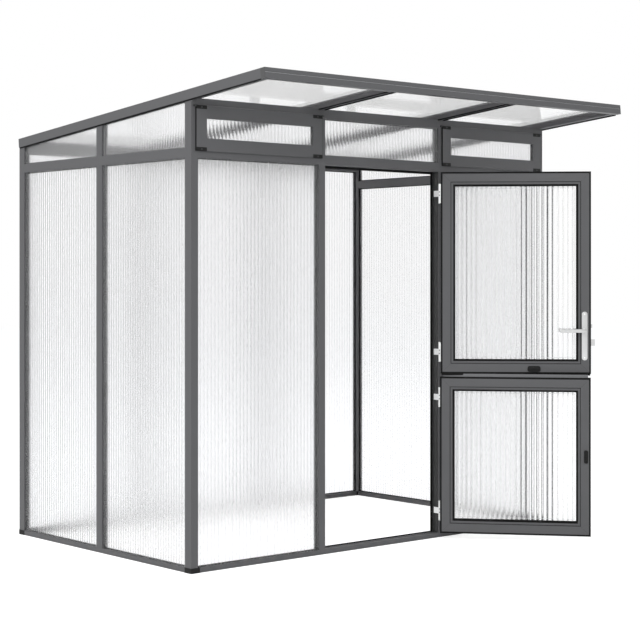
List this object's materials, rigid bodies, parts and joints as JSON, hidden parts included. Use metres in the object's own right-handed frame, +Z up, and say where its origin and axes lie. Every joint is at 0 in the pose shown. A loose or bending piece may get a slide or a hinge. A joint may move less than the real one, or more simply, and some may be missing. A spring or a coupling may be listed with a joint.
{
  "type": "lean-to greenhouse",
  "caption": "Lean-to greenhouse of twin-wall sheets in dark aluminium, with a canopy, a stable door standing open and top-hung vents beside the door.",
  "frame": {"origin": "middle of the rear base rail's underside, on the ground", "axes": "+X to the right seen from the door side, +Y towards the rear wall, +Z up"},
  "size_m": [2.472, 2.2097, 2.3168],
  "materials": {
    "frame_aluminium": "satin",
    "twin_wall_sheet": "gloss",
    "black_plastic": "matte",
    "seal_rubber": "matte",
    "satin_steel": "brushed",
    "dark_steel": "satin"
  },
  "bodies": {
    "frame": {"base_rail_front": "frame_aluminium", "base_rail_rear": "frame_aluminium", "base_rail_left": "frame_aluminium", "base_rail_right": "frame_aluminium", "base_corner_blocks": "black_plastic", "corner_post_front_left": "frame_aluminium", "corner_post_front_right": "frame_aluminium", "corner_post_rear_left": "frame_aluminium", "corner_post_rear_right": "frame_aluminium", "side_mullions": "frame_aluminium", "rear_mullions": "frame_aluminium", "door_post_left": "frame_aluminium", "door_post_right": "frame_aluminium", "front_transoms": "frame_aluminium", "side_transoms": "frame_aluminium", "front_header": "frame_aluminium", "rear_top_rail": "frame_aluminium", "rake_left": "frame_aluminium", "rake_right": "frame_aluminium", "rafters": "frame_aluminium", "roof_cap_strips": "frame_aluminium", "fascia": "frame_aluminium", "rear_eave_rail": "frame_aluminium", "roof_end_caps": "black_plastic", "roof_panels": "twin_wall_sheet", "front_panel_left": "twin_wall_sheet", "front_panel_right": "twin_wall_sheet", "fixed_light": "twin_wall_sheet", "side_panels_left": "twin_wall_sheet", "side_panels_right": "twin_wall_sheet", "side_lights": "twin_wall_sheet", "rear_panels": "twin_wall_sheet", "vent_pivots": "dark_steel", "door_stops": "seal_rubber", "post_hinges": "satin_steel"},
    "vent_left": {"vent_frame_left": "frame_aluminium", "vent_glazing_left": "twin_wall_sheet", "vent_end_caps_left": "black_plastic"},
    "vent_right": {"vent_frame_right": "frame_aluminium", "vent_glazing_right": "twin_wall_sheet", "vent_end_caps_right": "black_plastic"},
    "upper_leaf": {"upper_leaf_frame": "frame_aluminium", "upper_leaf_glazing": "twin_wall_sheet", "upper_leaf_bead": "frame_aluminium", "upper_leaf_seals": "seal_rubber", "upper_leaf_hinges": "satin_steel", "handle_backplates": "satin_steel", "lock_case": "dark_steel"},
    "lever": {"lever_handles": "satin_steel"},
    "key_cylinder": {"lock_cylinder": "satin_steel"},
    "latch": {"latch_bolt": "satin_steel"},
    "dead_bolt": {"deadbolt": "satin_steel"},
    "upper_button": {"upper_turn_button": "black_plastic"},
    "lower_leaf": {"lower_leaf_frame": "frame_aluminium", "lower_leaf_weather_bar": "frame_aluminium", "lower_leaf_glazing": "twin_wall_sheet", "lower_leaf_bead": "frame_aluminium", "lower_leaf_seals": "seal_rubber", "lower_leaf_hinges": "satin_steel"},
    "lower_button": {"lower_turn_button": "black_plastic"}
  },
  "joints": [
    {"name": "upper_leaf_hinge", "type": "hinge", "parent": "frame", "child": "upper_leaf", "pos_m": [0.4015, -1.541, 1.41], "axis": [0, 0, 1], "range_deg": [-135, 30]},
    {"name": "lower_leaf_hinge", "type": "hinge", "parent": "frame", "child": "lower_leaf", "pos_m": [0.4015, -1.541, 0.446], "axis": [0, 0, 1], "range_deg": [-130, 35]},
    {"name": "vent_left_hinge", "type": "hinge", "parent": "frame", "child": "vent_left", "pos_m": [-0.815, -1.5393, 2.19134], "axis": [-1, 0, 0], "range_deg": [0, 35]},
    {"name": "vent_right_hinge", "type": "hinge", "parent": "frame", "child": "vent_right", "pos_m": [0.815, -1.5393, 2.19134], "axis": [-1, 0, 0], "range_deg": [0, 35]},
    {"name": "lever_turn", "type": "hinge", "parent": "upper_leaf", "child": "lever", "pos_m": [0.92052, -2.10032, 1.105], "axis": [-0.7071, -0.7071, 0], "range_deg": [0, 45], "stiffness_Nm_per_rad": 0.6, "springref_deg": -28.65},
    {"name": "latch_slide", "type": "slide", "parent": "upper_leaf", "child": "latch", "axis": [-0.7071, 0.7071, 0], "range_m": [0, 0.009]},
    {"name": "key_turn", "type": "hinge", "parent": "upper_leaf", "child": "key_cylinder", "pos_m": [0.92052, -2.10032, 1.013], "axis": [-0.7071, -0.7071, 0], "range_deg": [0, 360]},
    {"name": "deadbolt_slide", "type": "slide", "parent": "upper_leaf", "child": "dead_bolt", "axis": [-0.7071, 0.7071, 0], "range_m": [0, 0.022]},
    {"name": "upper_button_turn", "type": "hinge", "parent": "upper_leaf", "child": "upper_button", "pos_m": [0.71864, -1.93592, 0.903], "axis": [-0.7071, -0.7071, 0], "range_deg": [0, 90]},
    {"name": "lower_button_turn", "type": "hinge", "parent": "lower_leaf", "child": "lower_button", "pos_m": [0.85496, -2.16697, 0.448], "axis": [-0.766, -0.6428, 0], "range_deg": [0, 90]}
  ],
  "couplings": [
    {"joint": "latch_slide", "follows": "lever_turn", "m_per_rad": 0.0114},
    {"joint": "key_turn", "follows": "deadbolt_slide", "rad_per_m": 285.6}
  ]
}
